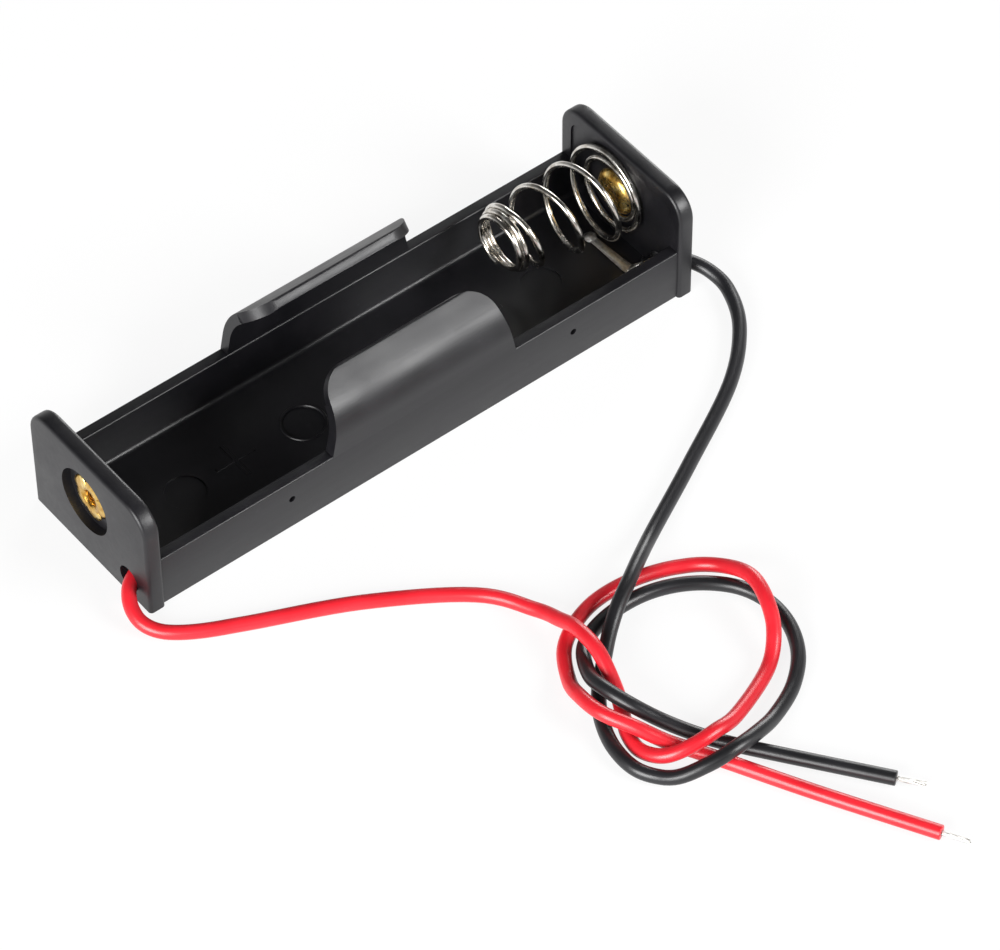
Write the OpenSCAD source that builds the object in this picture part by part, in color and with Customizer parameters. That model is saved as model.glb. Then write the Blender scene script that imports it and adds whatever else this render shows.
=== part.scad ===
// Single cylindrical cell holder: a moulded tray with two riveted contacts, a conical
// contact spring at the negative end and two flying leads knotted together on the bench.
// X runs along the cell with the spring at +X, Y across it, Z up. Origin: middle of the base.

/* [Cell] */
// Diameter of the cell that the bay takes
cell_d = 10.5; // [9.5:0.1:10.8]
// Length of the cell over its contacts
cell_l = 44.5; // [40:0.5:46]
// Room left between the cell and each side wall
side_room = 0.8; // [0.5:0.1:1.2]
// Room left for the pressed spring behind the cell
spring_room = 4.4; // [4:0.1:6]

/* [Tray] */
// Thickness of the side walls
wall_t = 1; // [0.8:0.1:1.4]
// Height of the low side walls
wall_h = 5; // [4.2:0.1:6]
// Thickness of the floor
floor_t = 1; // [0.7:0.1:1.4]
// Radius moulded between floor and walls
root_r = 0.4; // [0.2:0.1:0.8]

/* [End plates] */
// Thickness of an end plate
plate_t = 1.4; // [1.2:0.1:2]
// Height of an end plate
plate_h = 10.4; // [9.6:0.1:12]
// How far an end plate stands out past each side wall
plate_lap = 0.25; // [0.1:0.05:0.6]
// Radius of the upper corners of an end plate
plate_r = 2.3; // [1.5:0.1:3.5]
// Radius rolled along the rim of an end plate
rim_r = 0.3; // [0.1:0.05:0.5]
// Depth of the panel sunk in the inner face of an end plate
panel_depth = 0.15; // [0.05:0.05:0.4]
// Width of the rim left over that panel
panel_rim = 1.2; // [0.8:0.1:1.6]

/* [Lips] */
// Length of a lip where it leaves the side wall
lip_l = 17.4; // [12:0.2:24]
// Thickness of a lip
lip_t = 0.9; // [0.7:0.1:1]
// How far above the cell's middle a lip starts to bend over it
lip_bend_rise = 0.25; // [0:0.05:1]
// Outer radius of that bend
lip_bend_r = 4; // [3:0.1:5]
// Lean of a lip past its bend, from upright
lip_lean = 50; // [35:1:60]
// Flat length of a lip past its bend
lip_flat = 2; // [1:0.1:3]
// Slope of a lip's two ends, from upright
lip_draft = 11; // [0:1:20]
// Radius of a lip's upper corners
lip_corner_r = 2.6; // [1:0.1:4]

/* [Contacts] */
// How far the contact rivets sit below the cell's middle
contact_drop = 0.55; // [0:0.05:0.8]
// Sideways place of the contact rivets, away from the leads
contact_y = 0.5; // [0:0.1:1]
// Radius of the round pocket in the outer face of an end plate
pocket_r = 2.85; // [2.4:0.05:3.2]
// Depth of that pocket
pocket_depth = 0.8; // [0.4:0.1:1]
// Radius of a rivet's shank
shank_r = 0.9; // [0.6:0.1:1.2]
// Radius of a rivet's head inside the bay
head_r = 1.9; // [1.5:0.1:2.4]
// Height of a rivet's head
head_h = 0.6; // [0.4:0.1:0.9]
// Outer radius of the petals clenched in the pocket
petal_r = 2.05; // [1.6:0.1:2.3]
// Metal thickness of a rivet
rivet_t = 0.25; // [0.15:0.05:0.35]
// Number of petals
petals = 5; // [4:1:6]

/* [Spring] */
// Diameter of the spring wire
spring_wire_d = 0.5; // [0.35:0.05:0.6]
// Radius of the largest turn, to the middle of the wire
spring_base_r = 3.85; // [3.4:0.05:4.2]
// Radius at which the turns close up
spring_neck_r = 2.75; // [2.4:0.05:3.2]
// Radius of the last turn at the tip
spring_tip_r = 2.1; // [1.8:0.05:2.4]
// Gap between the rivet's head and the turn that starts round it
spring_gap = 0.1; // [0.05:0.05:0.5]
// Free length from the end plate to the tip
spring_free_l = 11.5; // [9:0.1:13]
// How far the largest turn sits off the rivet's middle, away from the leads
spring_seat_y = 0.5; // [0:0.1:0.8]
// How far the tip leans up
spring_rise = 0.9; // [0:0.1:1.5]
// How far the tip leans further away from the leads
spring_drift = 0.3; // [0:0.1:1]

/* [Leads] */
// Diameter of a lead over its insulation
lead_d = 1.15; // [0.9:0.05:1.15]
// Diameter of the bare stranded core
core_d = 0.5; // [0.3:0.05:0.7]
// Radius of the hole that a lead passes through
lead_hole_r = 1.1; // [0.9:0.05:1.3]
// Height of that hole's middle over the base
lead_hole_z = 1.75; // [1.7:0.05:2.4]
// Distance of that hole from the middle of the plate
lead_hole_y = 4.7; // [4.2:0.1:5.2]
// Length of bare core at a lead's free end
strip_l = 2.2; // [1.5:0.1:5]
// Width of the black lead's core where it is flattened on the floor
flat_w = 0.9; // [0.5:0.05:1.2]
// Thickness of the core there
flat_t = 0.25; // [0.15:0.05:0.4]
// Reach of the flattened core across the tray
flat_l = 4.9; // [3:0.1:5]

/* [Moulding marks] */
// Radius of the ejector marks on the floor
ejector_r = 1.65; // [0.8:0.05:2]
// Radius of the two pin marks in the front wall
pin_mark_r = 0.28; // [0.15:0.01:0.5]
// Depth of the ejector and pin marks
mark_depth = 0.12; // [0.05:0.01:0.4]

/* [Hidden] */

eps = 0.01;
tray_w = cell_d + 2 * (side_room + wall_t);
tray_l = cell_l + spring_room + head_h + 2 * (plate_t - panel_depth);
contact_z = floor_t + cell_d / 2 - contact_drop;
lip_bend_z = floor_t + cell_d / 2 + lip_bend_rise;
half_l = tray_l / 2;
bay_x = half_l - plate_t;
seat_x = bay_x + panel_depth;
in_y = tray_w / 2 - wall_t;
plate_w = tray_w + 2 * plate_lap;
edge_n = 4;
bend_n = 10;
ejector_x = [-17.4, -6.3, 16.8];
pin_mark_x = [-12.6, 14.3];
pin_mark_z = 3.1;
black = [0.07, 0.07, 0.08];
brass = [0.80, 0.62, 0.28];
tinned = [0.80, 0.80, 0.80];

// Where the lip's outer skin ends, and how far its upper edge stands over the wall
lip_end_y = tray_w / 2 - lip_bend_r * (1 - cos(lip_lean)) - lip_flat * sin(lip_lean);
lip_end_z = lip_bend_z + lip_bend_r * sin(lip_lean) + lip_flat * cos(lip_lean);

lead_r = lead_d / 2;
wire_sides = 8;
red_route = [
    [-23.1, -3.6, 1.65], [-24.2, -4.15, 1.75], [-25.4, -4.65, 1.75], [-26.5, -5.4, 1.6],
    [-27.25, -6.7, 1.2], [-27.3, -8.2, 0.8], [-26.4, -9.7, 0.6], [-24.4, -11.2, 0.6],
    [-21, -12.9, 0.6], [-13.4, -16.5, 0.6], [-6.4, -21.2, 0.6], [-4, -25.2, 0.9],
    [-3.6, -27.6, 1.7], [-3.5, -29.5, 2.4], [-3.7, -32.2, 2.5], [-4.3, -34.9, 1.4],
    [-5, -36.6, 0.7], [-5.9, -38.3, 0.6], [-6.2, -40.1, 0.7], [-5.5, -41.9, 1.3],
    [-3.9, -42.9, 2.1], [-1.7, -43.1, 2.4], [0.9, -42.5, 1.7], [5.8, -40.1, 0.7],
    [8, -38.2, 1.6], [9.1, -36, 2.4], [9.7, -33.4, 2.3], [9.2, -30.6, 1.1],
    [7.2, -28.6, 0.6], [3.4, -27.3, 0.6], [-0.6, -27.3, 0.6], [-4.2, -29, 0.6],
    [-6.2, -31.9, 0.8], [-7, -34.3, 1.8], [-7, -36.7, 2.3], [-5.8, -39, 2],
    [-4.4, -40.9, 1.1], [-2.9, -42.9, 0.6], [1.3, -50.9, 0.6], [5.9, -59.2, 0.6]];
black_route = [
    [23.1, -3.6, 1.65], [24.2, -4.15, 1.75], [25.4, -4.65, 1.75], [26.8, -5.6, 1.5],
    [27.8, -7.3, 1], [27.8, -9.6, 0.6], [25.9, -13.1, 0.6], [21.6, -17, 0.6],
    [13.8, -21.4, 0.6], [7.6, -24.8, 0.9], [4.6, -26.8, 1.8], [2.4, -28.3, 2.3],
    [0.4, -29.5, 2.2], [-1.4, -30.7, 1.5], [-3.3, -32.3, 0.8], [-5.1, -34, 0.6],
    [-6.6, -36.2, 0.6], [-7.5, -38.8, 0.6], [-7.4, -41.4, 0.6], [-5.9, -43.5, 0.7],
    [-3.7, -44.8, 1.8], [-1.6, -45.2, 2.4], [0.8, -44.8, 1.9], [3.3, -43.9, 1],
    [6.3, -42.4, 0.6], [8.6, -40.3, 0.6], [9.9, -37.6, 0.6], [10, -34.8, 0.6],
    [8.9, -32.3, 0.6], [6.4, -30.1, 0.6], [3.2, -28.9, 0.6], [-0.4, -28.9, 0.6],
    [-3.3, -30.1, 0.7], [-5.2, -33, 1.8], [-5.5, -35.2, 2.5], [-4.9, -37.3, 2.3],
    [-3.5, -39.4, 1.3], [-1.9, -41.7, 0.65], [-0.2, -44.3, 0.6], [6.6, -53.5, 0.6]];

// Points of an arc about c, from angle a to angle b in n steps
function arc(c, r, a, b, n) =
    [for (i = [0:n]) c + r * [cos(a + (b - a) * i / n), sin(a + (b - a) * i / n)]];
function unit(v) = v / norm(v);
function last(list) = list[len(list) - 1];

// A point kept from sinking into the bench
function on_bench(q, r) = [q[0], q[1], max(q[2], r)];

// A wire through a list of ring centres, with flat ends. half gives each ring's half width
// and half thickness; the thickness stands along up, and the wire never runs that way.
module wire(path, half, up = [0, 0, 1]) {
    n = len(path);
    m = wire_sides;
    rings = [for (i = [0:n - 1])
        let (t = unit(path[min(i + 1, n - 1)] - path[max(i - 1, 0)]),
            s = unit(cross(up, t)), u = cross(t, s))
        [for (k = [0:m - 1])
            let (a = 360 * (k + 0.5) / m)
            path[i] + half[i][0] * cos(a) * s + half[i][1] * sin(a) * u]];
    points = [for (ring = rings) for (q = ring) q];
    skin = [for (i = [0:n - 2]) for (k = [0:m - 1])
        let (a = i * m + k, b = i * m + (k + 1) % m)
        for (face = [[a + m, b + m, b], [a + m, b, a]]) face];
    polyhedron(points, concat(skin,
        [[for (k = [0:m - 1]) k]],
        [[for (k = [m - 1:-1:0]) (n - 1) * m + k]]));
}

// The half sizes of a wire of even radius
function even(path, r) = [for (q = path) [r, r]];

// Runs a 2D shape drawn as [y, z] along X
module along_x(x0, length) {
    translate([x0, 0, 0]) rotate([90, 0, 90]) linear_extrude(length) children();
}

// ---- housing ----

// Floor and side walls, with the root radius inside and small radii outside
module channel_section() {
    o = tray_w / 2;
    e = 0.15;
    right = concat(
        arc([o - e, e], e, -90, 0, edge_n),
        arc([o - e, wall_h - e], e, 0, 90, edge_n),
        arc([in_y + e, wall_h - e], e, 90, 180, edge_n),
        arc([in_y - root_r, floor_t + root_r], root_r, 0, -90, edge_n));
    left = [for (i = [len(right) - 1:-1:0]) [-right[i][0], right[i][1]]];
    polygon(concat(right, left));
}

// A lip's section at +Y, from inside the wall up and over the cell
module lip_section() {
    o = tray_w / 2;
    c = [o - lip_bend_r, lip_bend_z];
    along = [-sin(lip_lean), cos(lip_lean)];
    out = [cos(lip_lean), sin(lip_lean)];
    tip = [lip_end_y, lip_end_z];
    e = 0.2;
    outer = arc(c, lip_bend_r, 0, lip_lean, bend_n);
    inner = arc(c, lip_bend_r - lip_t, lip_lean, 0, bend_n);
    edge = concat(
        arc(tip - e * along - e * out, e, lip_lean, lip_lean + 90, 3),
        arc(tip - e * along - (lip_t - e) * out, e, lip_lean + 90, lip_lean + 180, 3));
    polygon(concat([[o - lip_t, wall_h - 1], [o, wall_h - 1]], outer, edge, inner));
}

// What a lip keeps: sloping ends, and corners rounded square to its leaning face
module lip_outline() {
    rise = lip_end_z + 1 - wall_h;
    half = lip_l / 2;
    top = half - rise * tan(lip_draft);
    rotate([90, 0, 0]) linear_extrude(tray_w, center = true)
        polygon([[-half, wall_h - 2], [half, wall_h - 2], [half, wall_h],
            [top, wall_h + rise], [-top, wall_h + rise], [-half, wall_h]]);
}

// What a lip loses at its upper corner, drawn in the plane of its leaning face
module lip_corner_cut() {
    lean = atan(tan(lip_draft) * cos(lip_lean));
    top = lip_l / 2 - (lip_end_z - wall_h) * tan(lip_draft);
    r = lip_corner_r;
    far = r + 3;
    translate([0, lip_end_y, lip_end_z]) rotate([90 + lip_lean, 0, 0])
        linear_extrude(6, center = true)
        translate([top + r * tan(lean) - r / cos(lean), -r]) difference() {
            polygon([[0, 0], far * [cos(lean), sin(lean)], [far, far], [0, far]]);
            circle(r, $fn = 64);
        }
}

module lip() {
    difference() {
        intersection() {
            along_x(-lip_l / 2 - 1, lip_l + 2) lip_section();
            lip_outline();
        }
        for (s = [0, 1]) mirror([s, 0, 0]) lip_corner_cut();
    }
}

// One straight stretch of a plate's rolled rim, or a quarter turn of it
module rim_section() {
    e = rim_r;
    polygon(concat([[0, 0]], arc([plate_r - e, e], e, -90, 0, edge_n),
        arc([plate_r - e, plate_t - e], e, 0, 90, edge_n), [[0, plate_t]]));
}

module end_plate() {
    w = plate_w / 2 - plate_r;
    h = plate_h - plate_r;
    rotate([90, 0, 90]) {
        for (s = [0, 1]) mirror([s, 0, 0]) {
            translate([w, h, 0]) rotate_extrude(angle = 90, $fn = 64) rim_section();
            translate([w, 0, 0]) rotate([90, 0, 0]) mirror([0, 0, 1])
                linear_extrude(h) rim_section();
        }
        translate([-w, h, 0]) rotate([90, 0, 90]) linear_extrude(2 * w) rim_section();
        translate([-w, 0, 0]) cube([2 * w, h, plate_t]);
    }
}

// Shallow panel sunk in a plate's inner face, which the floor closes below
module panel_section() {
    top = plate_h - panel_rim;
    r = plate_r - panel_rim;
    polygon(concat([[-in_y, floor_t / 2], [in_y, floor_t / 2]],
        arc([in_y - r, top - r], r, 0, 90, edge_n), arc([r - in_y, top - r], r, 90, 180, edge_n)));
}

// Holes of the plate at -X; the other end is its mirror image
module plate_holes() {
    translate([-half_l, contact_y, contact_z]) rotate([0, 90, 0]) {
        translate([0, 0, -1]) cylinder(h = 1 + pocket_depth, r = pocket_r, $fn = 64);
        translate([0, 0, -1]) cylinder(h = plate_t + 2, r = shank_r, $fn = 48);
    }
    translate([-half_l - 1, -lead_hole_y, lead_hole_z]) rotate([0, 90, 0])
        cylinder(h = plate_t + 1.5, r = lead_hole_r, $fn = 48);
}

module housing() {
    color(black) difference() {
        union() {
            along_x(-seat_x - eps, 2 * (seat_x + eps)) channel_section();
            for (s = [0, 1]) mirror([0, s, 0]) lip();
            for (s = [0, 1]) mirror([s, 0, 0]) difference() {
                translate([-half_l, 0, 0]) end_plate();
                along_x(-seat_x, panel_depth + 1) panel_section();
            }
        }
        for (s = [0, 1]) mirror([s, 0, 0]) plate_holes();
        for (x = ejector_x) translate([x, 0, floor_t - mark_depth])
            cylinder(h = 1, r = ejector_r, $fn = 48);
        for (x = pin_mark_x) translate([x, -tray_w / 2 - 1, pin_mark_z]) rotate([-90, 0, 0])
            cylinder(h = 1 + 3 * mark_depth, r = pin_mark_r, $fn = 24);
    }
}

// ---- contacts ----

// Eyelet with a domed head at x = 0 inwards and petals clenched in the pocket behind it
module rivet() {
    web = plate_t - panel_depth - pocket_depth;
    hole_r = shank_r - rivet_t;
    rotate([0, 90, 0]) difference() {
        rotate_extrude($fn = 64) polygon(concat(
            [[0, head_h]], arc([head_r - 0.25, 0.25], 0.25, 60, 0, 3),
            [[head_r, 0], [shank_r, 0], [shank_r, -web], [petal_r - 0.15, -web],
                [petal_r, -web - 0.1], [petal_r - 0.2, -web - rivet_t],
                [hole_r + 0.2, -web - rivet_t], [hole_r, -web - rivet_t + 0.1],
                [hole_r, -rivet_t], [0, -rivet_t]]));
        for (k = [0:petals - 1]) rotate([0, 0, 360 * (k + 0.25) / petals])
            translate([shank_r + 0.15, -0.16, -web - 1]) cube([petal_r, 0.32, 1]);
    }
}

module positive_rivet() {
    color(brass) translate([-seat_x, contact_y, contact_z]) rivet();
}

module negative_rivet() {
    color(brass) mirror([1, 0, 0]) translate([-seat_x, contact_y, contact_z]) rivet();
}

module contact_spring() {
    step = 22.5;
    w = spring_wire_d;
    face = seat_x - w / 2;
    // Turns are counted from the top of the turn that lies on the end plate
    start = -0.5;
    start_r = head_r + w / 2 + spring_gap;
    open = 1;
    shut = 4;
    end = 6.5;
    close = w * 0.95;
    settle = 0.25;
    travel = spring_free_l - w - settle - (end - shut) * close;
    function ease(s) = s - 0.42 * s * (1 - s) * (1 - s);
    // Distance from the plate after t turns, and the radius there. The last turns nest.
    function lift(t) = t < open ? settle * (t - start) / (open - start)
        : t < shut ? settle + travel * ease((t - open) / (shut - open))
        : settle + travel + (t - shut) * close;
    function ring_r(t) = t < open
        ? start_r + (spring_base_r - start_r) * (t - start) / (open - start)
        : t < shut
        ? spring_base_r + (spring_neck_r - spring_base_r) * (t - open) / (shut - open)
        : spring_neck_r + (spring_tip_r - spring_neck_r) * (t - shut) / (end - shut);
    function side(t) = spring_seat_y * min(1, (t - start) / (open - start));
    path = [for (i = [0:(end - start) * 360 / step])
        let (t = start + i * step / 360, a = 90 - 360 * t, k = lift(t) / spring_free_l)
        [face - lift(t), contact_y + side(t) + spring_drift * k + ring_r(t) * cos(a),
            contact_z + spring_rise * k + ring_r(t) * sin(a)]];
    color(tinned) wire(path, even(path, w / 2), [1, 0, 0]);
}

// ---- leads ----

module lead(route) {
    path = [for (q = route) on_bench(q, lead_r)];
    wire(path, even(path, lead_r));
}

module lead_tip(route) {
    p = last(route);
    d = unit(p - route[len(route) - 2]);
    translate(p) rotate([0, 90, atan2(d[1], d[0])]) cylinder(h = strip_l, d = core_d, $fn = 24);
}

module red_lead() {
    color([0.85, 0.15, 0.18]) lead(red_route);
}

module red_lead_tip() {
    color(tinned) lead_tip(red_route);
}

module black_lead() {
    color([0.12, 0.12, 0.13]) lead(black_route);
}

module black_lead_tip() {
    color(tinned) lead_tip(black_route);
}

// Direction in which a lead's inner end points
function inward(route) = unit(route[0] - route[1]);

// Bare core from the inner end of the red lead up to the edge of the rivet's head
module red_inner_core() {
    p = red_route[0];
    x = -seat_x + core_d / 2;
    foot = [x, p[1] + 1.2, p[2] + 1];
    head = [x, contact_y, contact_z];
    path = [p, p + 0.2 * inward(red_route), p + [0, 0.6, 0.1], foot,
        head - (head_r + 0.02) * unit(head - foot)];
    color(tinned) wire(path, even(path, core_d / 2), [1, 0, 0]);
}

// Bare core of the black lead, flattened along the floor to the spring's first open turn
module black_inner_core() {
    p = black_route[0];
    z = floor_t + flat_t / 2 + 0.02;
    w = flat_w / 2;
    t = flat_t / 2;
    path = [p, p + 0.2 * inward(black_route), [p[0] - 0.2, p[1] + 0.8, z + 0.1],
        [p[0] - 0.2, p[1] + 1.4, z], [p[0] - 0.35, p[1] + flat_l, z]];
    color(tinned) wire(path,
        [[core_d / 2, core_d / 2], [core_d / 2, core_d / 2], [w, t], [w, t], [0.7 * w, t]]);
}

housing();
positive_rivet();
negative_rivet();
contact_spring();
red_lead();
red_lead_tip();
red_inner_core();
black_lead();
black_lead_tip();
black_inner_core();
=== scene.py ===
import math
import random

import bmesh
import bpy
from mathutils import Matrix, Vector, noise


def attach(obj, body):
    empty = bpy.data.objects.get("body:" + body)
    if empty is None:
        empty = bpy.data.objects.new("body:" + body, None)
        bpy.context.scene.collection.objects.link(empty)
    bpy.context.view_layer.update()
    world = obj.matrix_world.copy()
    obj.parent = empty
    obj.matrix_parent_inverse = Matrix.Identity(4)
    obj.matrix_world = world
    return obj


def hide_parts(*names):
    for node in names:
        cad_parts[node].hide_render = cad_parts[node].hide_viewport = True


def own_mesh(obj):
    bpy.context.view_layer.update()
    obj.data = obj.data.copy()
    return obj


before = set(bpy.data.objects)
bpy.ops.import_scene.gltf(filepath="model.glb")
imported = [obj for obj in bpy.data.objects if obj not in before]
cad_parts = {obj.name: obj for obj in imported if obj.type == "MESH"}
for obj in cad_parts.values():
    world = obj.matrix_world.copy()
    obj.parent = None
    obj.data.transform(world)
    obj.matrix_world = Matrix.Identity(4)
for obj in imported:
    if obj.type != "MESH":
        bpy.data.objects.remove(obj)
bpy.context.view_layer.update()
scene = bpy.context.scene
mm = 0.001

print("stage: camera")

view = {
    "azimuth": -38.08,
    "elevation": 49.23,
    "roll": -0.49,
    "distance": 410.41 * mm,
    "target": (2.585 * mm, -12.76 * mm, 0),
    "lens": 195.84,
}


def placeCamera(v):
    a, e = math.radians(v["azimuth"]), math.radians(v["elevation"])
    back = Vector((math.sin(a) * math.cos(e), -math.cos(a) * math.cos(e), math.sin(e)))
    camera = bpy.data.objects.new("camera", bpy.data.cameras.new("camera"))
    scene.collection.objects.link(camera)
    camera.rotation_mode = "QUATERNION"
    roll = Matrix.Rotation(math.radians(v["roll"]), 3, "Z").to_quaternion()
    camera.rotation_quaternion = (-back).to_track_quat("-Z", "Y") @ roll
    camera.location = Vector(v["target"]) + back * v["distance"]
    camera.data.lens = v["lens"]
    camera.data.sensor_width = 36
    camera.data.clip_start, camera.data.clip_end = 0.01, 10
    scene.camera = camera


placeCamera(view)

# small tools that every piece shares


def linear(hexCode):
    values = [int(hexCode[i:i + 2], 16) / 255 for i in (1, 3, 5)]
    return [c / 12.92 if c <= 0.04045 else ((c + 0.055) / 1.055) ** 2.4 for c in values] + [1.0]


def addNode(tree, kind, settings=None, links=None):
    # settings names an attribute or an input socket; links maps an input socket to an output
    made = tree.nodes.new(kind)
    for key, value in (settings or {}).items():
        if key == "stops":
            for i, (place, grey) in enumerate(value):
                stop = made.color_ramp.elements[i] if i < 2 else made.color_ramp.elements.new(place)
                stop.position = place
                stop.color = linear(grey) if isinstance(grey, str) else (grey, grey, grey, 1)
        elif isinstance(key, str) and hasattr(made, key):
            setattr(made, key, value)
        else:
            made.inputs[key].default_value = value
    for key, source in (links or {}).items():
        tree.links.new(source, made.inputs[key])
    return made


def startMaterial(name):
    made = bpy.data.materials.new(name)
    made.use_nodes = True
    tree = made.node_tree
    tree.nodes.clear()
    shader = addNode(tree, "ShaderNodeBsdfPrincipled")
    addNode(tree, "ShaderNodeOutputMaterial", {}, {"Surface": shader.outputs[0]})
    return made, tree, shader


def addPiece(name, verts, faces, material, body, uvs=None):
    mesh = bpy.data.meshes.new(name)
    mesh.from_pydata([tuple(v) for v in verts], [], faces)
    if uvs:
        layer = mesh.uv_layers.new(name="run")
        for loop in mesh.loops:
            layer.data[loop.index].uv = uvs[loop.vertex_index]
    mesh.validate()
    mesh.polygons.foreach_set("use_smooth", [True] * len(mesh.polygons))
    mesh.set_sharp_from_angle(angle=math.radians(40))
    mesh.materials.append(material)
    piece = bpy.data.objects.new(name, mesh)
    scene.collection.objects.link(piece)
    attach(piece, body)
    return piece


def curveThrough(points, steps):
    # smooth curve through every point
    pts = [Vector(p) for p in points]
    out = []
    for i in range(len(pts) - 1):
        before = pts[i - 1] if i else 2 * pts[0] - pts[1]
        after = pts[i + 2] if i + 2 < len(pts) else 2 * pts[-1] - pts[-2]
        a, b = pts[i], pts[i + 1]
        for k in range(steps):
            t = k / steps
            out.append(0.5 * (2 * a + (b - before) * t + (2 * before - 5 * a + 4 * b - after) * t ** 2
                              + (3 * a - before - 3 * b + after) * t ** 3))
    return out + [pts[-1]]


def sweep(centres, section, up=(0, 0, 1)):
    # section(i, share) gives ring i as [x, y] points; y stands along up, which never turns
    up = Vector(up)
    n = len(centres)
    verts, uvs, faces, run = [], [], [], 0
    sides = len(section(0, 0))
    for i, c in enumerate(centres):
        t = (centres[min(i + 1, n - 1)] - centres[max(i - 1, 0)]).normalized()
        s = up.cross(t).normalized()
        u = t.cross(s)
        run += (c - centres[i - 1]).length if i else 0
        around = 0
        ring = section(i, i / (n - 1))
        for k, (x, y) in enumerate(ring):
            verts.append(c + s * x + u * y)
            uvs.append((run / mm, around / mm))
            around += math.dist(ring[k], ring[(k + 1) % sides])
    for i in range(n - 1):
        for k in range(sides):
            a, b = i * sides + k, i * sides + (k + 1) % sides
            faces.append((a, b, b + sides, a + sides))
    faces.append(tuple(range(sides - 1, -1, -1)))
    faces.append(tuple((n - 1) * sides + k for k in range(sides)))
    return verts, faces, uvs


def roundSection(radius, sides):
    return [(radius * math.cos(2 * math.pi * k / sides),
             radius * math.sin(2 * math.pi * k / sides)) for k in range(sides)]


def joined(parts):
    # several meshes as one, so that a bundle of strands is a single piece
    verts, faces, uvs = [], [], []
    for v, f, u in parts:
        faces += [tuple(k + len(verts) for k in face) for face in f]
        verts += v
        uvs += u
    return verts, faces, uvs


# finishes

print("stage: finishes")


def blackAbs():
    # injection-moulded black ABS: satin, very slightly clouded sheen, fine spark-eroded grain
    made, tree, shader = startMaterial("black_abs_moulded_satin")
    place = addNode(tree, "ShaderNodeTexCoord")
    cloud = addNode(tree, "ShaderNodeTexNoise",
                    {"Scale": 1 / (3.5 * mm), "Detail": 3.0, "Roughness": 0.55},
                    {"Vector": place.outputs["Object"]})
    # grain of the mould is about 0.03 mm and is drawn as 0.13 mm, so that it shows
    grain = addNode(tree, "ShaderNodeTexNoise",
                    {"Scale": 1 / (0.13 * mm), "Detail": 2.0, "Roughness": 0.6},
                    {"Vector": place.outputs["Object"]})
    # flow of the plastic along the tray, 9 mm long and 0.5 mm wide streaks
    stretch = addNode(tree, "ShaderNodeMapping",
                      {"Scale": (1 / (9 * mm), 1 / (0.5 * mm), 1 / (0.5 * mm))},
                      {"Vector": place.outputs["Object"]})
    flow = addNode(tree, "ShaderNodeTexNoise", {"Scale": 1.0, "Detail": 2.0},
                   {"Vector": stretch.outputs[0]})
    # handling marks: sparse dull specks about 0.4 mm across
    speck = addNode(tree, "ShaderNodeTexVoronoi", {"Scale": 1 / (1.6 * mm), "Randomness": 1.0},
                    {"Vector": place.outputs["Object"]})
    speckMask = addNode(tree, "ShaderNodeValToRGB", {"stops": [(0.07, 1.0), (0.13, 0.0)]},
                        {"Fac": speck.outputs["Distance"]})
    tone = addNode(tree, "ShaderNodeValToRGB",
                   {"stops": [(0.3, "#0e0e11"), (0.7, "#151418")]}, {"Fac": cloud.outputs["Fac"]})
    dust = addNode(tree, "ShaderNodeMix",
                   {"data_type": "RGBA", "Factor": 0.0, 7: linear("#28272c")},
                   {"Factor": addNode(tree, "ShaderNodeMath", {"operation": "MULTIPLY", 1: 0.25},
                                      {0: speckMask.outputs[0]}).outputs[0],
                    6: tone.outputs[0]})
    rough = addNode(tree, "ShaderNodeMapRange",
                    {"From Min": 0.3, "From Max": 0.7, "To Min": 0.36, "To Max": 0.46},
                    {"Value": cloud.outputs["Fac"]})
    roughFlow = addNode(tree, "ShaderNodeMapRange",
                        {"From Min": 0.35, "From Max": 0.65, "To Min": -0.015, "To Max": 0.015},
                        {"Value": flow.outputs["Fac"]})
    roughAll = addNode(tree, "ShaderNodeMath", {"operation": "ADD"},
                       {0: rough.outputs[0], 1: roughFlow.outputs[0]})
    heights = addNode(tree, "ShaderNodeMath", {"operation": "MULTIPLY_ADD", 1: 0.35},
                      {0: cloud.outputs["Fac"], 2: grain.outputs["Fac"]})
    bump = addNode(tree, "ShaderNodeBump", {"Strength": 0.25, "Distance": 0.02 * mm},
                   {"Height": heights.outputs[0]})
    shader.inputs["IOR"].default_value = 1.52
    tree.links.new(dust.outputs[2], shader.inputs["Base Color"])
    tree.links.new(roughAll.outputs[0], shader.inputs["Roughness"])
    tree.links.new(bump.outputs[0], shader.inputs["Normal"])
    return made


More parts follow.
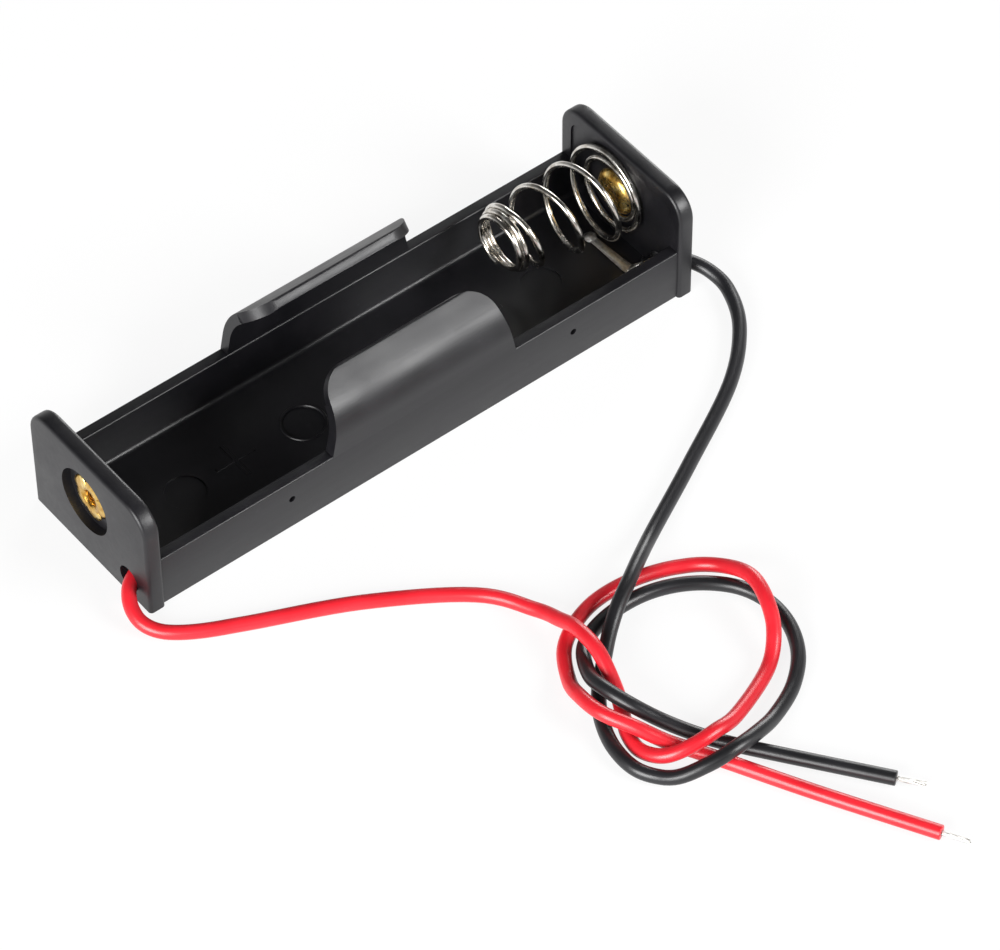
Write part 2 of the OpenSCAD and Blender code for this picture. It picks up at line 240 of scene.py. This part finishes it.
def pvc(name, dark, light, roughness):
    # extruded soft PVC insulation: glossy but slightly uneven, faint lines along the wire
    made, tree, shader = startMaterial(name)
    run = addNode(tree, "ShaderNodeUVMap", {"uv_map": "run"})
    # die lines: 12 mm long and 0.12 mm apart round the wire
    stretch = addNode(tree, "ShaderNodeMapping", {"Scale": (1 / 12, 1 / 0.12, 1)},
                      {"Vector": run.outputs[0]})
    lines = addNode(tree, "ShaderNodeTexNoise", {"Scale": 1.0, "Detail": 3.0},
                    {"Vector": stretch.outputs[0]})
    place = addNode(tree, "ShaderNodeTexCoord")
    # pigment and thickness change over about 4 mm
    cloud = addNode(tree, "ShaderNodeTexNoise", {"Scale": 1 / (4 * mm), "Detail": 2.0},
                    {"Vector": place.outputs["Object"]})
    # pores of 0.15 mm from extrusion
    pores = addNode(tree, "ShaderNodeTexNoise", {"Scale": 1 / (0.15 * mm), "Detail": 1.0},
                    {"Vector": place.outputs["Object"]})
    tone = addNode(tree, "ShaderNodeValToRGB", {"stops": [(0.3, dark), (0.7, light)]},
                   {"Fac": cloud.outputs["Fac"]})
    rough = addNode(tree, "ShaderNodeMapRange",
                    {"From Min": 0.3, "From Max": 0.7,
                     "To Min": roughness - 0.05, "To Max": roughness + 0.06},
                    {"Value": lines.outputs["Fac"]})
    heights = addNode(tree, "ShaderNodeMath", {"operation": "MULTIPLY_ADD", 1: 0.4},
                      {0: pores.outputs["Fac"], 2: lines.outputs["Fac"]})
    bump = addNode(tree, "ShaderNodeBump", {"Strength": 0.3, "Distance": 0.02 * mm},
                   {"Height": heights.outputs[0]})
    shader.inputs["IOR"].default_value = 1.53
    tree.links.new(tone.outputs[0], shader.inputs["Base Color"])
    tree.links.new(rough.outputs[0], shader.inputs["Roughness"])
    tree.links.new(bump.outputs[0], shader.inputs["Normal"])
    return made


def nickelWire():
    # nickel-plated music wire: bright, drawn lines along the wire and dull spots in the plating
    made, tree, shader = startMaterial("nickel_plated_drawn_wire")
    run = addNode(tree, "ShaderNodeUVMap", {"uv_map": "run"})
    # draw lines: 4 mm long and 0.05 mm apart
    stretch = addNode(tree, "ShaderNodeMapping", {"Scale": (1 / 4, 1 / 0.05, 1)},
                      {"Vector": run.outputs[0]})
    lines = addNode(tree, "ShaderNodeTexNoise", {"Scale": 1.0, "Detail": 3.0},
                    {"Vector": stretch.outputs[0]})
    place = addNode(tree, "ShaderNodeTexCoord")
    spots = addNode(tree, "ShaderNodeTexNoise", {"Scale": 1 / (0.7 * mm), "Detail": 2.0},
                    {"Vector": place.outputs["Object"]})
    tone = addNode(tree, "ShaderNodeValToRGB", {"stops": [(0.35, "#b9b2a8"), (0.6, "#e2dfd9")]},
                   {"Fac": spots.outputs["Fac"]})
    rough = addNode(tree, "ShaderNodeMapRange",
                    {"From Min": 0.35, "From Max": 0.7, "To Min": 0.14, "To Max": 0.3},
                    {"Value": spots.outputs["Fac"]})
    bump = addNode(tree, "ShaderNodeBump", {"Strength": 0.25, "Distance": 0.008 * mm},
                   {"Height": lines.outputs["Fac"]})
    shader.inputs["Metallic"].default_value = 1.0
    tree.links.new(tone.outputs[0], shader.inputs["Base Color"])
    tree.links.new(rough.outputs[0], shader.inputs["Roughness"])
    tree.links.new(bump.outputs[0], shader.inputs["Normal"])
    return made


def pressedBrass():
    # pressed brass sheet: warm and bright, finely scuffed by the setting tool, with brown tarnish in random
    # patches
    made, tree, shader = startMaterial("brass_pressed_bright")
    place = addNode(tree, "ShaderNodeTexCoord")
    scuff = addNode(tree, "ShaderNodeTexNoise", {"Scale": 1 / (0.25 * mm), "Detail": 4.0},
                    {"Vector": place.outputs["Object"]})
    tarnish = addNode(tree, "ShaderNodeTexNoise", {"Scale": 1 / (0.9 * mm), "Detail": 2.0},
                      {"Vector": place.outputs["Object"]})
    tone = addNode(tree, "ShaderNodeValToRGB",
                   {"stops": [(0.32, "#b98a3a"), (0.52, "#e3bd6a"), (0.7, "#f2d995")]},
                   {"Fac": tarnish.outputs["Fac"]})
    rough = addNode(tree, "ShaderNodeMapRange",
                    {"From Min": 0.3, "From Max": 0.7, "To Min": 0.2, "To Max": 0.4},
                    {"Value": scuff.outputs["Fac"]})
    bump = addNode(tree, "ShaderNodeBump", {"Strength": 0.35, "Distance": 0.02 * mm},
                   {"Height": scuff.outputs["Fac"]})
    shader.inputs["Metallic"].default_value = 1.0
    tree.links.new(tone.outputs[0], shader.inputs["Base Color"])
    tree.links.new(rough.outputs[0], shader.inputs["Roughness"])
    tree.links.new(bump.outputs[0], shader.inputs["Normal"])
    return made


def tinnedCopper():
    # stranded copper dipped in solder: pale grey, soft sheen, with a little flux left on it
    made, tree, shader = startMaterial("tinned_copper_strands")
    place = addNode(tree, "ShaderNodeTexCoord")
    skin = addNode(tree, "ShaderNodeTexNoise", {"Scale": 1 / (0.35 * mm), "Detail": 3.0},
                   {"Vector": place.outputs["Object"]})
    tone = addNode(tree, "ShaderNodeValToRGB", {"stops": [(0.3, "#b4b1ac"), (0.65, "#e4e3e0")]},
                   {"Fac": skin.outputs["Fac"]})
    rough = addNode(tree, "ShaderNodeMapRange",
                    {"From Min": 0.3, "From Max": 0.7, "To Min": 0.3, "To Max": 0.5},
                    {"Value": skin.outputs["Fac"]})
    bump = addNode(tree, "ShaderNodeBump", {"Strength": 0.4, "Distance": 0.03 * mm},
                   {"Height": skin.outputs["Fac"]})
    shader.inputs["Metallic"].default_value = 1.0
    tree.links.new(tone.outputs[0], shader.inputs["Base Color"])
    tree.links.new(rough.outputs[0], shader.inputs["Roughness"])
    tree.links.new(bump.outputs[0], shader.inputs["Normal"])
    return made


trayPlastic = blackAbs()
redPvc = pvc("red_pvc_extruded", "#c91a26", "#dc2531", 0.34)
blackPvc = pvc("black_pvc_extruded", "#151517", "#1e1e21", 0.36)
springWire = nickelWire()
brass = pressedBrass()
tinned = tinnedCopper()

# leads

print("stage: leads")

leads = {
    "diameter": 1.15 * mm,
    "bore": 0.26 * mm,       # radius of the hole that the core shows in
    "edge": 0.06 * mm,       # radius worn on the cut end
    "sides": 24,
    "steps": 8,
    "wobble": 0.012,         # uneven extrusion, share of the radius
    "strand": 0.075 * mm,    # radius of one copper strand
    "strands": 6,            # round the middle one
    "lay": 5.0 * mm,         # length of one twist
    "bare": 2.2 * mm,
    "recess": 0.5 * mm,      # depth of the bore at a cut end
    "strandStart": 0.4 * mm,  # how deep in the bore the bare strands start
    "lowest": 0.6 * mm,      # height of the wire's middle where it lies on the bench
}

redRoute = [
    (-23.7, -4, 1.7), (-24.5, -4.4, 1.75), (-25.4, -4.65, 1.75), (-26.5, -5.4, 1.6),
    (-27.25, -6.7, 1.2), (-27.3, -8.2, 0.8), (-26.4, -9.7, 0.6), (-24.4, -11.2, 0.6),
    (-21, -12.9, 0.6), (-13.4, -16.5, 0.6), (-6.4, -21.2, 0.6), (-4, -25.2, 0.9),
    (-3.6, -27.6, 1.7), (-3.5, -29.5, 2.4), (-3.7, -32.2, 2.5), (-4.3, -34.9, 1.4),
    (-5, -36.6, 0.7), (-5.9, -38.3, 0.6), (-6.2, -40.1, 0.7), (-5.5, -41.9, 1.3),
    (-3.9, -42.9, 2.1), (-1.7, -43.1, 2.4), (0.9, -42.5, 1.7), (5.8, -40.1, 0.7),
    (8, -38.2, 1.6), (9.1, -36, 2.4), (9.7, -33.4, 2.3), (9.2, -30.6, 1.1),
    (7.2, -28.6, 0.6), (3.4, -27.3, 0.6), (-0.6, -27.3, 0.6), (-4.2, -29, 0.6),
    (-6.2, -31.9, 0.8), (-7, -34.3, 1.8), (-7, -36.7, 2.3), (-5.8, -39, 2),
    (-4.4, -40.9, 1.1), (-2.9, -42.9, 0.6), (1.3, -50.9, 0.6), (5.9, -59.2, 0.6)]
blackRoute = [
    (23.7, -4, 1.7), (24.5, -4.4, 1.75), (25.4, -4.65, 1.75), (26.8, -5.6, 1.5),
    (27.8, -7.3, 1), (27.8, -9.6, 0.6), (25.9, -13.1, 0.6), (21.6, -17, 0.6),
    (13.8, -21.4, 0.6), (7.6, -24.8, 0.9), (4.6, -26.8, 1.8), (2.4, -28.3, 2.3),
    (0.4, -29.5, 2.2), (-1.4, -30.7, 1.5), (-3.3, -32.3, 0.8), (-5.1, -34, 0.6),
    (-6.6, -36.2, 0.6), (-7.5, -38.8, 0.6), (-7.4, -41.4, 0.6), (-5.9, -43.5, 0.7),
    (-3.7, -44.8, 1.8), (-1.6, -45.2, 2.4), (0.8, -44.8, 1.9), (3.3, -43.9, 1),
    (6.3, -42.4, 0.6), (8.6, -40.3, 0.6), (9.9, -37.6, 0.6), (10, -34.8, 0.6),
    (8.9, -32.3, 0.6), (6.4, -30.1, 0.6), (3.2, -28.9, 0.6), (-0.4, -28.9, 0.6),
    (-3.3, -30.1, 0.7), (-5.2, -33, 1.8), (-5.5, -35.2, 2.5), (-4.9, -37.3, 2.3),
    (-3.5, -39.4, 1.3), (-1.9, -41.7, 0.65), (-0.2, -44.3, 0.6), (6.6, -53.5, 0.6)]


def insulation(route):
    # tube whose cut ends turn in to a bore that the core stands in
    path = curveThrough([Vector(p) * mm for p in route], leads["steps"])
    for p in path:
        p.z = max(p.z, leads["lowest"])
    r, edge, bore = leads["diameter"] / 2, leads["edge"], leads["bore"]
    first, last = (path[1] - path[0]).normalized(), (path[-1] - path[-2]).normalized()
    centres = [path[0] + first * d for d in (leads["recess"], 0, 0, edge)] + path[1:-1] + [
        path[-1] - last * d for d in (edge, 0, 0, leads["recess"])]
    ends = {0: bore, 1: bore, 2: r - edge, 3: r}
    n = len(centres)
    sides = leads["sides"]
    verts, faces, uvs, run = [], [], [], 0
    for i, c in enumerate(centres):
        if i < 4:
            t = first
        elif i > n - 5:
            t = last
        else:
            t = (centres[i + 1] - centres[i - 1]).normalized()
        s = Vector((0, 0, 1)).cross(t).normalized()
        u = t.cross(s)
        run += (c - centres[i - 1]).length if i else 0
        size = ends.get(i, ends.get(n - 1 - i, r))
        if size == r:
            size *= 1 + leads["wobble"] * noise.noise(c / (5 * mm))
        for k in range(sides):
            a = 2 * math.pi * k / sides
            verts.append(c + size * (math.cos(a) * s + math.sin(a) * u))
            uvs.append((run / mm, a * r / mm))
    for i in range(n - 1):
        for k in range(sides):
            a, b = i * sides + k, i * sides + (k + 1) % sides
            faces.append((a, b, b + sides, a + sides))
    faces.append(tuple(range(sides - 1, -1, -1)))
    faces.append(tuple((n - 1) * sides + k for k in range(sides)))
    return path, verts, faces, uvs


def strandBundle(path, width, height, spread, seed):
    # tinned strands twisted round a middle one; spread opens them towards the far end
    draw = random.Random(seed)
    parts = []
    n = len(path)
    lengths = [0.0]
    for a, b in zip(path, path[1:]):
        lengths.append(lengths[-1] + (b - a).length)
    for k in range(leads["strands"] + 1):
        middle = k == leads["strands"]
        phase = 2 * math.pi * k / leads["strands"]
        cut = n - (0 if middle else draw.randrange(0, 3))
        sway = [draw.uniform(-1, 1) * 0.03 * mm for _ in range(2)]
        centres = []
        for i in range(cut):
            t = (path[min(i + 1, n - 1)] - path[max(i - 1, 0)]).normalized()
            s = Vector((0, 0, 1)).cross(t).normalized()
            u = t.cross(s)
            a = phase + 2 * math.pi * lengths[i] / leads["lay"]
            share = lengths[i] / lengths[-1]
            widen = 1 + spread * share
            x = 0 if middle else (width - leads["strand"]) * math.cos(a) * widen
            y = 0 if middle else (height - leads["strand"]) * math.sin(a)
            centres.append(path[i] + s * (x + sway[0] * share) + u * (y + sway[1] * share))
        parts.append(sweep(centres, lambda i, share: roundSection(leads["strand"], 10)))
    return joined(parts)


def straightRun(start, direction, length, steps):
    return [start + direction * (length * i / steps) for i in range(steps + 1)]


def makeLead(colour, route, plastic, width, height, spread, seed):
    path, verts, faces, uvs = insulation(route)
    lead = addPiece(colour + "_wire_insulation", verts, faces, plastic, "tray", uvs)
    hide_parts(colour + "_lead")
    flat = (path[-1] - path[-2])
    flat.z = 0
    flat.normalize()
    # the strands start inside the bore
    start = leads["strandStart"]
    bare = straightRun(path[-1] - flat * start, flat, leads["bare"] + start, 26)
    v, f, uv = strandBundle(bare, width, height, spread, seed)
    tip = addPiece(colour + "_wire_bare_end", v, f, tinned, "tray", uv)
    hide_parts(colour + "_lead_tip")
    return path


redPath = makeLead("red", redRoute, redPvc, 0.19 * mm, 0.17 * mm, 0.0, 3)
blackPath = makeLead("black", blackRoute, blackPvc, 0.22 * mm, 0.15 * mm, 0.15, 5)

# bare cores inside the bay

print("stage: inner cores")

cores = {
    "ridges": 8,              # strands that show through the solder
}


def ridged(halfWidth, halfThick, sides, shift):
    out = []
    for k in range(sides):
        a = 2 * math.pi * k / sides
        bulge = 1 + 0.07 * math.cos(cores["ridges"] * 2 * a + shift)
        out.append((halfWidth * math.cos(a) * bulge, halfThick * math.sin(a) * bulge))
    return out


def solderBlob(centre, size, seed):
    # a wetted lump: flat underneath, uneven on top
    ball = bmesh.new()
    bmesh.ops.create_icosphere(ball, subdivisions=4, radius=1.0)
    offset = Vector((seed, seed * 2.3, 0))
    for v in ball.verts:
        d = v.co.normalized()
        d *= 1 + 0.14 * noise.noise(d * 1.7 + offset)
        d.z = max(d.z, -0.35)
        v.co = Vector(centre) + Vector((d.x * size[0], d.y * size[1], d.z * size[2]))
    verts = [v.co.copy() for v in ball.verts]
    faces = [tuple(v.index for v in f.verts) for f in ball.faces]
    ball.free()
    return verts, faces, [(0, 0)] * len(verts)


def makeInnerCore(name, keys, halfSizes, blob, node):
    path = curveThrough([Vector(p) * mm for p in keys], 10)
    n = len(path)

    def section(i, share):
        place = share * (len(halfSizes) - 1)
        k = min(int(place), len(halfSizes) - 2)
        part = place - k
        w, h = [halfSizes[k][j] * (1 - part) + halfSizes[k + 1][j] * part for j in (0, 1)]
        return ridged(w * mm, h * mm, 48, 0.35 * i * 10 / n)

    up = (1, 0, 0) if node == "red_inner_core" else (0, 0, 1)
    parts = [sweep(path, section, up=up), solderBlob(*blob)]
    v, f, uv = joined(parts)
    piece = addPiece(name, v, f, tinned, "tray", uv)
    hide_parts(node)
    return piece


makeInnerCore(
    "red_core_to_rivet",
    [(-23.7, -4, 1.7), (-23.52, -3.91, 1.69), (-23.9, -3.3, 1.9), (-24.45, -2.6, 2.6), (-24.5, -0.85, 4.3)],
    [(0.25, 0.25), (0.25, 0.25), (0.25, 0.25), (0.25, 0.25), (0.25, 0.2)],
    ((-24.55 * mm, -0.85 * mm, 4.3 * mm), (0.16 * mm, 0.5 * mm, 0.5 * mm), 1.0), "red_inner_core")
makeInnerCore(
    "black_core_strip",
    [(23.7, -4, 1.7), (23.52, -3.91, 1.69), (22.98, -3.45, 1.3), (22.9, -2.8, 1.16), (22.75, 1.3, 1.15)],
    [(0.25, 0.25), (0.28, 0.24), (0.45, 0.13), (0.45, 0.125), (0.32, 0.12)],
    ((22.72 * mm, 1.25 * mm, 1.16 * mm), (0.5 * mm, 0.55 * mm, 0.32 * mm), 4.0), "black_inner_core")

# contact spring

print("stage: spring")

coil = {
    "wire": 0.5,
    "seat": 24.75,        # inner face of the end plate
    "middle": (0.5, 5.7),  # the rivet's middle, y and z
    "headRadius": 1.9,
    "headGap": 0.1,
    "baseRadius": 3.85,
    "neckRadius": 2.75,
    "tipRadius": 2.1,
    "freeLength": 11.5,
    "seatShift": 0.5,
    "rise": 0.9,
    "drift": 0.3,
    "first": -0.5,        # turns, counted from the top of the turn on the plate
    "open": 1.0,
    "shut": 4.0,
    "last": 6.5,
    "sides": 16,
    "perTurn": 64,
    "settle": 0.25,       # rise of the turn that lies on the plate
    "nest": 0.95,         # wire diameters between the closed turns at the tip
    "ease": 0.42,         # how much closer the open turns start
    "pressed": 0.38,      # share of its length left at the end of its travel
}


def springPath(c):
    w = c["wire"]
    face = c["seat"] - w / 2
    startRadius = c["headRadius"] + w / 2 + c["headGap"]
    close, settle = w * c["nest"], c["settle"]
    travel = c["freeLength"] - w - settle - (c["last"] - c["shut"]) * close
    path = []
    count = round((c["last"] - c["first"]) * c["perTurn"])
    for i in range(count + 1):
        t = c["first"] + i / c["perTurn"]
        if t < c["open"]:
            s = (t - c["first"]) / (c["open"] - c["first"])
            lift = settle * s
            r = startRadius + (c["baseRadius"] - startRadius) * s
        elif t < c["shut"]:
            s = (t - c["open"]) / (c["shut"] - c["open"])
            lift = settle + travel * (s - c["ease"] * s * (1 - s) ** 2)
            r = c["baseRadius"] + (c["neckRadius"] - c["baseRadius"]) * s
        else:
            lift = settle + travel + (t - c["shut"]) * close
            s = (t - c["shut"]) / (c["last"] - c["shut"])
            r = c["neckRadius"] + (c["tipRadius"] - c["neckRadius"]) * s
        side = c["seatShift"] * min(1, (t - c["first"]) / (c["open"] - c["first"]))
        k = lift / c["freeLength"]
        a = math.radians(90 - 360 * t)
        path.append(Vector((face - lift, c["middle"][0] + side + c["drift"] * k + r * math.cos(a),
                            c["middle"][1] + c["rise"] * k + r * math.sin(a))) * mm)
    return path


def makeSpring(c):
    r = c["wire"] / 2 * mm
    path = springPath(c)
    n = len(path)

    def section(i, share):
        # cut ends with a worn edge
        inset = min(i, n - 1 - i)
        return roundSection(r * (0.8 if inset == 0 else 0.97 if inset == 1 else 1), c["sides"])

    verts, faces, uvs = sweep(path, section, up=(1, 0, 0))
    piece = addPiece("contact_coil", verts, faces, springWire, "tray", uvs)
    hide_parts("contact_spring")
    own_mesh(piece)


makeSpring(coil)

# rivets

print("stage: rivets")

rivet = {
    "middle": (0.5 * mm, 5.7 * mm),
    "seat": 24.75 * mm,       # plane of the head's underside
    "web": 0.45 * mm,         # plastic between head and petals
    "shank": 0.9 * mm,
    "sheet": 0.22 * mm,
    "petals": 5,
    "reach": 2.05 * mm,
}


def makeRivet(name, end, node, seed):
    # x runs out of the bay; head inside, split skirt rolled outwards in the pocket
    draw = random.Random(seed)
    around, count = 120, rivet["petals"]
    petals = [(draw.uniform(0.86, 1.0), draw.uniform(-0.05, 0.09) * mm, draw.uniform(-0.12, 0.12))
              for _ in range(count)]
    sheet = rivet["sheet"]
    out = rivet["web"]
    # profile of the sheet's middle from the closed head to the rolled edge, radius and x
    head = [(0.001 * mm, -0.40), (0.35 * mm, -0.42), (0.62 * mm, -0.50), (0.8 * mm, -0.585), (1.1 * mm, -0.6),
            (1.45 * mm, -0.53), (1.72 * mm, -0.36), (1.86 * mm, -0.16), (1.88 * mm, -0.03)]
    verts, faces, uvs = [], [], []
    for r, x in head:
        verts += [(r, 2 * math.pi * k / around, x * mm) for k in range(around)]
    skirtStart = len(verts)
    bore = rivet["shank"] - sheet / 2
    profile = [(bore, -0.3 * mm), (bore, out - 0.05 * mm), (bore + 0.02 * mm, out + 0.14 * mm),
               (bore + 0.1 * mm, out + 0.26 * mm), (bore + 0.24 * mm, out + 0.3 * mm)]
    # four more rings follow the profile, out to the tips of the petals
    for j in range(len(profile) + 4):
        for k in range(around):
            a = 2 * math.pi * k / around
            place = a * count / (2 * math.pi)
            p = int(place) % count
            share = place - int(place)
            size, lift, skew = petals[p]
            notch = min(1.0, min(share, 1 - share) / 0.13)
            if j < len(profile):
                r, x = profile[j]
                if j > 2:
                    r += 0.02 * mm * math.sin(a * 3 + seed)
            else:
                s = (j - 4) / 4
                end0 = bore + 0.24 * mm
                tipReach = rivet["reach"] * size * (1 - 0.12 * (2 * share - 1 + skew) ** 2)
                full = end0 + 0.1 * mm + (tipReach - end0 - 0.1 * mm) * (0.25 + 0.75 * notch ** 0.7)
                r = end0 + (full - end0) * s
                x = out + 0.3 * mm + lift * s - (0.17 * mm + lift * 0.5) * s ** 2
            verts.append((r, a, x))
    total = len(verts)
    for start, stop in ((0, skirtStart), (skirtStart, total)):
        for j in range((stop - start) // around - 1):
            for k in range(around):
                a, b = start + j * around + k, start + j * around + (k + 1) % around
                faces.append((a, b, b + around, a + around))
    points = []
    for r, a, x in verts:
        points.append(Vector((end * (rivet["seat"] + x), rivet["middle"][0] + r * math.cos(a),
                              rivet["middle"][1] + r * math.sin(a))))
    if end < 0:
        faces = [tuple(reversed(f)) for f in faces]
    piece = addPiece(name, points, faces, brass, "tray")
    bm = bmesh.new()
    bm.from_mesh(piece.data)
    bmesh.ops.remove_doubles(bm, verts=bm.verts, dist=0.002 * mm)
    bmesh.ops.recalc_face_normals(bm, faces=bm.faces)
    bm.to_mesh(piece.data)
    bm.free()
    thick = piece.modifiers.new("sheet", "SOLIDIFY")
    thick.thickness = sheet
    thick.offset = 0
    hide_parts(node)
    return piece


makeRivet("positive_contact_rivet", -1, "positive_rivet", 2)
makeRivet("negative_contact_rivet", 1, "negative_rivet", 7)

# tray

print("stage: tray")

tray = {
    "edge": 0.11 * mm,      # radius left by the mould along its sharp edges
    "sharp": 32,            # degrees past which an edge gets that radius
    "flat": 0.4,            # degrees under which faces are one
}


def makeTray():
    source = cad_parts["housing"]
    mesh = source.data.copy()
    mesh.name = "tray_moulding"
    piece = bpy.data.objects.new("tray_moulding", mesh)
    scene.collection.objects.link(piece)
    bm = bmesh.new()
    bm.from_mesh(mesh)
    bmesh.ops.remove_doubles(bm, verts=bm.verts, dist=0.001 * mm)
    bmesh.ops.dissolve_limit(bm, angle_limit=math.radians(tray["flat"]), verts=bm.verts, edges=bm.edges)
    bm.to_mesh(mesh)
    bm.free()
    if "custom_normal" in mesh.attributes:
        mesh.attributes.remove(mesh.attributes["custom_normal"])
    mesh.materials.clear()
    mesh.materials.append(trayPlastic)
    mesh.polygons.foreach_set("use_smooth", [True] * len(mesh.polygons))
    mesh.set_sharp_from_angle(angle=math.radians(tray["sharp"]))
    soft = piece.modifiers.new("edges", "BEVEL")
    soft.width = tray["edge"]
    soft.segments = 2
    soft.limit_method = "ANGLE"
    soft.angle_limit = math.radians(tray["sharp"])
    soft.harden_normals = True
    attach(piece, "tray")
    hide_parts("housing")
    return piece


makeTray()

marks = {
    "floor": 1.0 * mm,
    "height": 0.07 * mm,
    "sunk": 0.02 * mm,         # depth of a stroke's foot in the floor
    "slope": 0.05 * mm,        # how much a stroke narrows to its top
    "strokeHalf": 0.17 * mm,
    "plus": (-12.6 * mm, 0.2 * mm, 1.8 * mm),   # x, y and length of an arm
    "minus": (11.2 * mm, 0, 1.7 * mm),
    "ring": (-6.3 * mm, 0, 1.75 * mm, 0.24 * mm),   # x, y, radius and width
}


def markStroke(outline):
    # raised stroke with sloping sides, as engraved into the mould; outline runs anticlockwise
    n = len(outline)
    verts, faces = [], []
    for shrink, z in ((0.0, -marks["sunk"]), (0.0, 0.0), (marks["slope"], marks["height"])):
        for k, p in enumerate(outline):
            before = (Vector(p) - Vector(outline[k - 1])).normalized()
            after = (Vector(outline[(k + 1) % n]) - Vector(p)).normalized()
            side = Vector((-before.y - after.y, before.x + after.x))
            q = Vector(p) + side * shrink
            verts.append(Vector((q.x, q.y, marks["floor"] + z)))
    for j in (0, n):
        faces += [(j + k, j + (k + 1) % n, j + n + (k + 1) % n, j + n + k) for k in range(n)]
    faces.append(tuple(range(2 * n, 3 * n)))
    return verts, faces, [(0, 0)] * len(verts)


def plusOutline(x, y, arm, half):
    corner = [(arm, -half), (arm, half), (half, half), (half, arm), (-half, arm), (-half, half),
              (-arm, half), (-arm, -half), (-half, -half), (-half, -arm), (half, -arm), (half, -half)]
    return [(x + p, y + q) for p, q in corner]


def barOutline(x, y, arm, half):
    return [(x - arm, y - half), (x + arm, y - half), (x + arm, y + half), (x - arm, y + half)]


def markRing(x, y, radius, wide):
    verts, faces = [], []
    sides, h = 72, marks["height"]
    section = [(radius - wide / 2, 0), (radius - wide / 4, h),
               (radius + wide / 4, h), (radius + wide / 2, 0)]
    for k in range(sides):
        a = 2 * math.pi * k / sides
        verts += [Vector((x + r * math.cos(a), y + r * math.sin(a), marks["floor"] + z))
                  for r, z in section]
    for k in range(sides):
        for j in range(3):
            a, b = k * 4 + j, (k + 1) % sides * 4 + j
            faces.append((a, a + 1, b + 1, b))
    return verts, faces, [(0, 0)] * len(verts)


def makeMarks():
    # plain polarity marks on the floor: plus, a mould ring, minus
    half = marks["strokeHalf"]
    parts = [
        markStroke(plusOutline(*marks["plus"], half)),
        markStroke(barOutline(*marks["minus"], half)),
        markRing(*marks["ring"]),
    ]
    verts, faces, uvs = joined(parts)
    return addPiece("floor_polarity_marks", verts, faces, trayPlastic, "tray", uvs)


makeMarks()

# studio

print("stage: studio")

studio = {
    "floorWhite": 0.86,     # share of the floor that is plain white to the camera
    "world": 0.55,
    "half": 2.0,            # half the bench's side
    "drop": 0.02 * mm,      # how far the bench lies under the tray
    "lamps": [
        # name, place, size, power, aimed at
        ("key_left", (-0.40, -0.14, 0.17), 0.26, 3.2, (0, -0.01, 0)),
        ("front_box", (0.18, -0.34, 0.22), 0.20, 1.8, (0, -0.01, 0)),
        ("rim_right", (0.34, 0.22, 0.14), 0.20, 0.9, (0, 0, 0)),
    ],
}


def makeStudio():
    half, z = studio["half"], -studio["drop"]
    mesh = bpy.data.meshes.new("bench")
    corners = [(-half, -half, z), (half, -half, z), (half, half, z), (-half, half, z)]
    mesh.from_pydata(corners, [], [(0, 1, 2, 3)])
    bench = bpy.data.objects.new("bench", mesh)
    scene.collection.objects.link(bench)
    made = bpy.data.materials.new("white_bench")
    made.use_nodes = True
    tree = made.node_tree
    tree.nodes.clear()
    path = addNode(tree, "ShaderNodeLightPath")
    sheen = addNode(tree, "ShaderNodeTexNoise", {"Scale": 40.0, "Detail": 2.0})
    tone = addNode(tree, "ShaderNodeValToRGB", {"stops": [(0.3, "#f4f4f4"), (0.7, "#f8f8f8")]},
                   {"Fac": sheen.outputs["Fac"]})
    matt = addNode(tree, "ShaderNodeBsdfDiffuse", {}, {"Color": tone.outputs[0]})
    glow = addNode(tree, "ShaderNodeEmission", {"Color": (1, 1, 1, 1), "Strength": 1.0})
    seen = addNode(tree, "ShaderNodeMath", {"operation": "MAXIMUM"},
                   {0: path.outputs["Is Camera Ray"], 1: path.outputs["Is Glossy Ray"]})
    seenAll = addNode(tree, "ShaderNodeMath", {"operation": "MAXIMUM"},
                      {0: seen.outputs[0], 1: path.outputs["Is Transmission Ray"]})
    share = addNode(tree, "ShaderNodeMath", {"operation": "MULTIPLY", 1: studio["floorWhite"]},
                    {0: seenAll.outputs[0]})
    mix = addNode(tree, "ShaderNodeMixShader", {},
                  {0: share.outputs[0], 1: matt.outputs[0], 2: glow.outputs[0]})
    addNode(tree, "ShaderNodeOutputMaterial", {}, {"Surface": mix.outputs[0]})
    mesh.materials.append(made)

    world = bpy.data.worlds.new("studio")
    scene.world = world
    world.use_nodes = True
    tree = world.node_tree
    tree.nodes.clear()
    path = addNode(tree, "ShaderNodeLightPath")
    place = addNode(tree, "ShaderNodeTexCoord")
    height = addNode(tree, "ShaderNodeSeparateXYZ", {}, {0: place.outputs["Generated"]})
    # pale walls near the horizon, a dark ceiling
    walls = addNode(tree, "ShaderNodeValToRGB",
                    {"stops": [(0.0, 0.9), (0.3, 0.55), (0.6, 0.12), (1.0, 0.1)]},
                    {"Fac": height.outputs["Z"]})
    room = addNode(tree, "ShaderNodeBackground", {"Strength": studio["world"]},
                   {"Color": walls.outputs[0]})
    white = addNode(tree, "ShaderNodeBackground", {"Color": (1, 1, 1, 1), "Strength": 1.0})
    mix = addNode(tree, "ShaderNodeMixShader", {},
                  {0: path.outputs["Is Camera Ray"], 1: room.outputs[0], 2: white.outputs[0]})
    addNode(tree, "ShaderNodeOutputWorld", {}, {"Surface": mix.outputs[0]})

    for name, spot, size, power, aim in studio["lamps"]:
        lamp = bpy.data.lights.new(name, "AREA")
        lamp.size = size
        lamp.energy = power
        holder = bpy.data.objects.new(name, lamp)
        scene.collection.objects.link(holder)
        holder.location = spot
        holder.rotation_mode = "QUATERNION"
        holder.rotation_quaternion = (Vector(aim) - Vector(spot)).to_track_quat("-Z", "Y")


makeStudio()
scene.view_settings.view_transform = "Standard"
